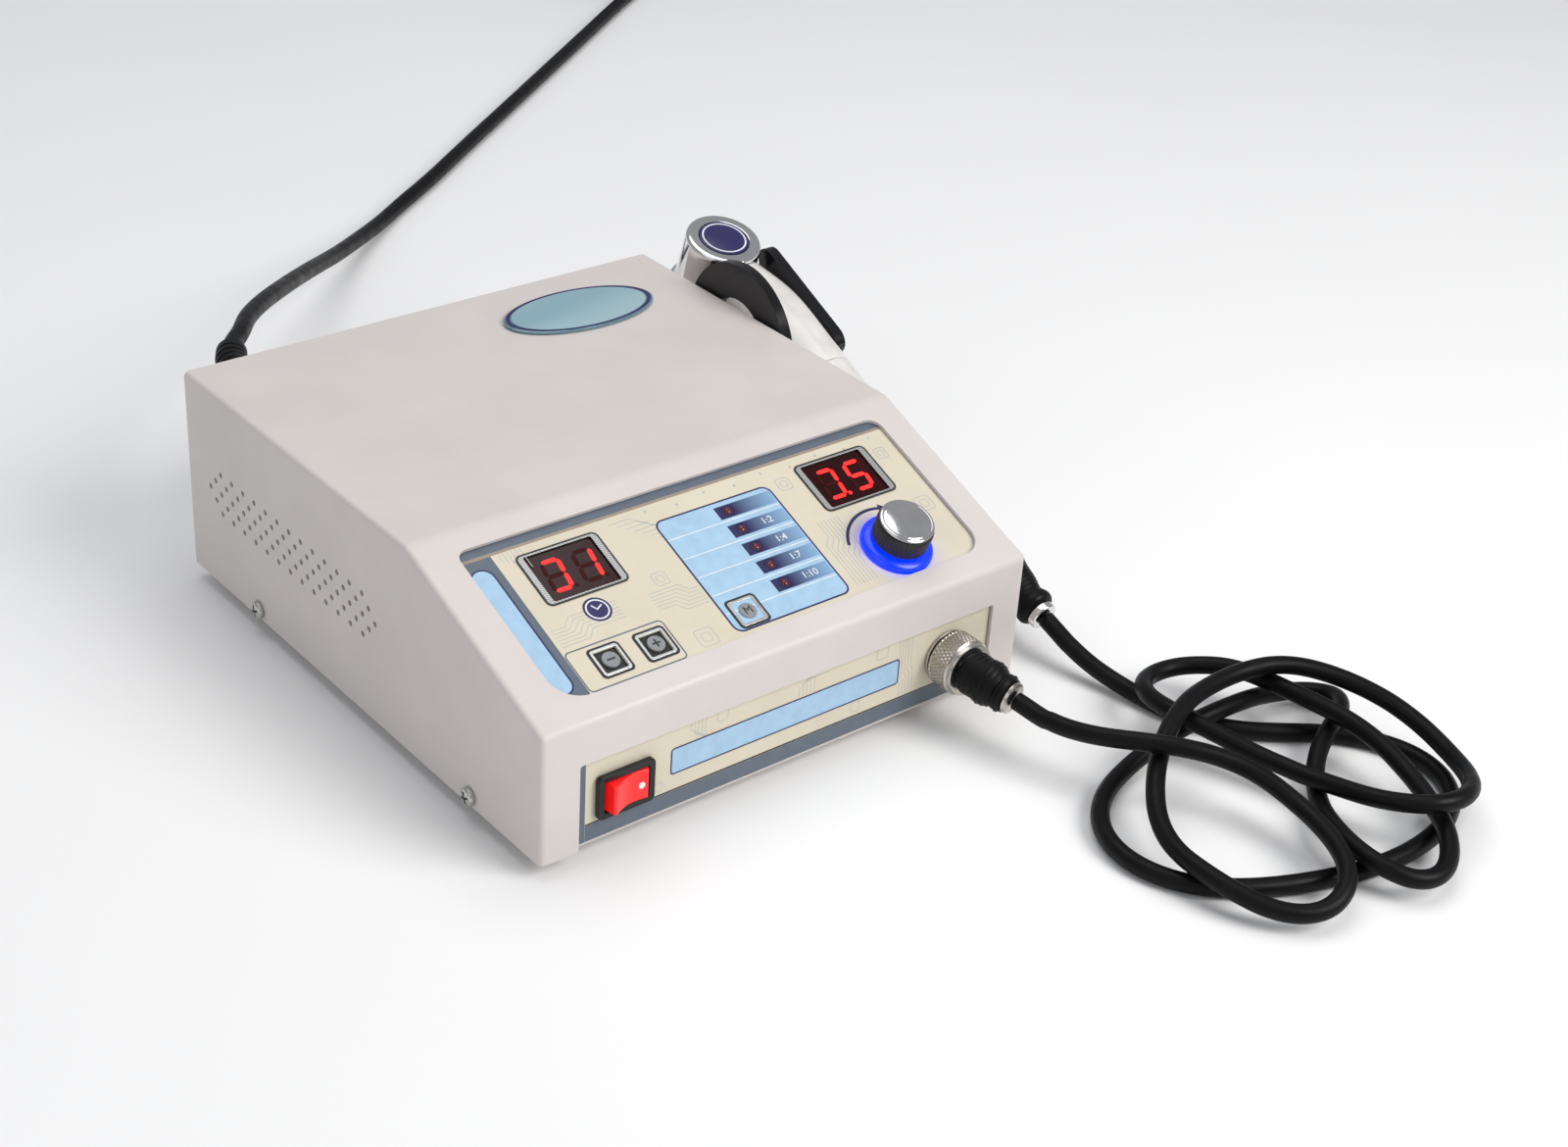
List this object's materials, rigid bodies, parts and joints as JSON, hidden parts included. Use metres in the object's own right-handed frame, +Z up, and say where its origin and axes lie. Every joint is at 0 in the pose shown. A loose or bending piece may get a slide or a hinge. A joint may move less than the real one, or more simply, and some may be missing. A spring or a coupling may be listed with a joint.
{
  "type": "ultrasound therapy unit",
  "caption": "Desktop ultrasound therapy unit: sloping control panel with displays, keys and a lit knob, and a corded handpiece resting in a side cradle.",
  "frame": {"origin": "on the surface the unit stands on, under the middle of the box around the unit without its free cords", "axes": "+X the operator's right, +Y the back, +Z up"},
  "size_m": [0.624, 0.918, 0.0937],
  "materials": {
    "powder_coat": "warm off-white fine-texture powder coat",
    "panel_film": "printed cream polyester film, satin",
    "zinc_plate": "zinc-plated sheet",
    "screw_steel": "nickel-plated screw heads",
    "alloy": "bare aluminium alloy",
    "nickel": "nickel-plated brass, satin",
    "chrome": "polished chrome",
    "treatment_face": "polished dark alloy",
    "transformer_iron": "varnished laminations",
    "brass": "plain brass end caps",
    "black_rubber": "matte black moulded rubber",
    "black_plastic": "glossy black moulded plastic",
    "lit_red_plastic": "translucent red plastic, lit",
    "display_black": "dark red filter",
    "led_red": "dark red diffused lamp",
    "blue_glow": "translucent blue plastic, lit",
    "circuit_board": "green solder mask",
    "badge_blue": "domed clear resin over light blue",
    "handle_white": "satin white moulded plastic",
    "label_navy": "printed film",
    "piezo_ceramic": "silvered ceramic"
  },
  "bodies": {
    "case": {"cover": "powder_coat", "base_tray": "powder_coat", "rubber_foot_1": "black_rubber", "rubber_foot_2": "black_rubber", "rubber_foot_3": "black_rubber", "rubber_foot_4": "black_rubber", "case_screw_left_front": "screw_steel", "case_screw_left_rear": "screw_steel", "case_screw_right_front": "screw_steel", "case_screw_right_rear": "screw_steel", "cradle_screw_1": "screw_steel", "cradle_screw_2": "screw_steel", "control_overlay": "panel_film", "control_plate": "zinc_plate", "front_overlay": "panel_film", "display_board": "circuit_board", "timer_display": "display_black", "intensity_display": "display_black", "mode_led_1": "led_red", "mode_led_2": "led_red", "mode_led_3": "led_red", "mode_led_4": "led_red", "mode_led_5": "led_red", "main_board": "circuit_board", "heat_sink": "alloy", "mains_transformer": "transformer_iron", "encoder_body": "alloy", "glow_ring": "blue_glow", "rocker_housing": "black_plastic", "output_socket": "nickel", "plug_core": "nickel", "plug_boot": "black_rubber", "plug_ferrule": "nickel", "fuse_holder": "black_plastic", "mains_gland": "black_rubber", "top_badge": "badge_blue", "cradle": "black_plastic", "handpiece_cable": "black_rubber", "mains_cord": "black_rubber", "mains_coil": "black_rubber", "mains_plug": "black_rubber"},
    "handpiece": {"handle_ferrule": "chrome", "handle_boot": "black_rubber", "handle_front_shell": "handle_white", "handle_rear_shell": "handle_white", "head_shell": "chrome", "head_face": "treatment_face", "crystal_disc": "piezo_ceramic", "head_label": "label_navy"},
    "encoder_rotor": {"encoder_shaft": "alloy"},
    "intensity_knob": {"knob_body": "black_plastic", "knob_cap": "chrome"},
    "minus_button": {"minus_key": "black_plastic"},
    "plus_button": {"plus_key": "black_plastic"},
    "mode_button": {"mode_key": "black_plastic"},
    "power_switch": {"power_rocker": "lit_red_plastic"},
    "output_ring": {"coupling_ring": "nickel"},
    "fuse_carrier": {"fuse_link": "brass"},
    "fuse_knob": {"fuse_cap": "black_plastic"}
  },
  "joints": [
    {"name": "handpiece_lift", "type": "slide", "parent": "case", "child": "handpiece", "axis": [0, 0, 1], "range_m": [0, 0.06]},
    {"name": "knob_turn", "type": "hinge", "parent": "case", "child": "encoder_rotor", "pos_m": [0.03525, -0.08544, 0.05816], "axis": [0, -0.3581, 0.9337], "continuous": true},
    {"name": "knob_press", "type": "slide", "parent": "encoder_rotor", "child": "intensity_knob", "axis": [0, 0.3581, -0.9337], "range_m": [0, 0.0005], "stiffness_N_per_m": 400, "springref_m": -0.001},
    {"name": "minus_key_press", "type": "slide", "parent": "case", "child": "minus_button", "axis": [0, 0.3581, -0.9337], "range_m": [0, 0.0005], "stiffness_N_per_m": 200, "springref_m": -0.001},
    {"name": "plus_key_press", "type": "slide", "parent": "case", "child": "plus_button", "axis": [0, 0.3581, -0.9337], "range_m": [0, 0.0005], "stiffness_N_per_m": 200, "springref_m": -0.001},
    {"name": "mode_key_press", "type": "slide", "parent": "case", "child": "mode_button", "axis": [0, 0.3581, -0.9337], "range_m": [0, 0.0005], "stiffness_N_per_m": 200, "springref_m": -0.001},
    {"name": "power_rocker_tilt", "type": "hinge", "parent": "case", "child": "power_switch", "pos_m": [-0.08495, -0.10422, 0.0217], "axis": [0, 0, 1], "range_deg": [-20, 0]},
    {"name": "coupling_ring_spin", "type": "hinge", "parent": "case", "child": "output_ring", "pos_m": [0.04375, -0.10542, 0.0227], "axis": [0, -1, 0], "continuous": true},
    {"name": "fuse_pull", "type": "slide", "parent": "case", "child": "fuse_carrier", "axis": [0, 1, 0], "range_m": [0, 0.04]},
    {"name": "fuse_cap_turn", "type": "hinge", "parent": "fuse_carrier", "child": "fuse_knob", "pos_m": [-0.00025, 0.10558, 0.032], "axis": [0, 1, 0], "range_deg": [0, 90]}
  ]
}
